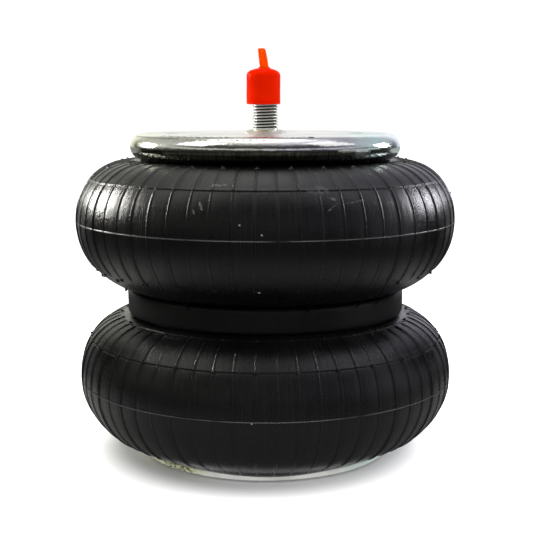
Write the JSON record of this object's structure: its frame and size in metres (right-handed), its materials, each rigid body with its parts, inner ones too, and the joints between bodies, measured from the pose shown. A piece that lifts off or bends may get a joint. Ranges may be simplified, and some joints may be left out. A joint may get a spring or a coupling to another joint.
{
  "type": "air bellows actuator",
  "caption": "Convoluted rubber air bellows actuator between two zinc-plated bead plates, with a hollow threaded stud under a soft pull-off cap.",
  "frame": {"origin": "centre of the lower bead plate's underside, on the bellows axis", "axes": "+Z along the bellows axis from the lower plate to the upper plate and the stud; X runs through the blind nuts of both plates"},
  "size_m": [0.3228, 0.3228, 0.3407],
  "materials": {
    "zinc_plate": "zinc plated and worn",
    "bellows_rubber": "moulded, satin black",
    "band_rubber": "moulded, smooth black",
    "bare_steel": "bare steel",
    "red_vinyl": "soft red vinyl, a little glossy"
  },
  "bodies": {
    "base": {"lower_bead_plate": "zinc_plate", "lower_bead_core": "bare_steel", "lower_blind_nut_left": "bare_steel", "lower_blind_nut_right": "bare_steel", "lower_convolution": "bellows_rubber"},
    "girdle": {"girdle_band": "band_rubber", "girdle_hoop": "bare_steel"},
    "head": {"upper_bead_plate": "zinc_plate", "upper_bead_core": "bare_steel", "upper_blind_nut_left": "bare_steel", "upper_blind_nut_right": "bare_steel", "upper_convolution": "bellows_rubber", "combination_stud": "zinc_plate", "stud_weld_collar": "zinc_plate"},
    "cap": {"protective_cap": "red_vinyl"}
  },
  "joints": [
    {"name": "lower_convolution_stroke", "type": "slide", "parent": "base", "child": "girdle", "axis": [0, 0, 1], "range_m": [-0.0865, 0], "stiffness_N_per_m": 40000, "deforming": ["lower_convolution"]},
    {"name": "upper_convolution_stroke", "type": "slide", "parent": "girdle", "child": "head", "axis": [0, 0, 1], "range_m": [-0.09515, 0], "deforming": ["upper_convolution"]},
    {"name": "cap_pull_off", "type": "slide", "parent": "head", "child": "cap", "axis": [0, 0, 1], "range_m": [0, 0.04]}
  ],
  "couplings": [
    {"joint": "upper_convolution_stroke", "follows": "lower_convolution_stroke", "ratio": 1.1}
  ]
}
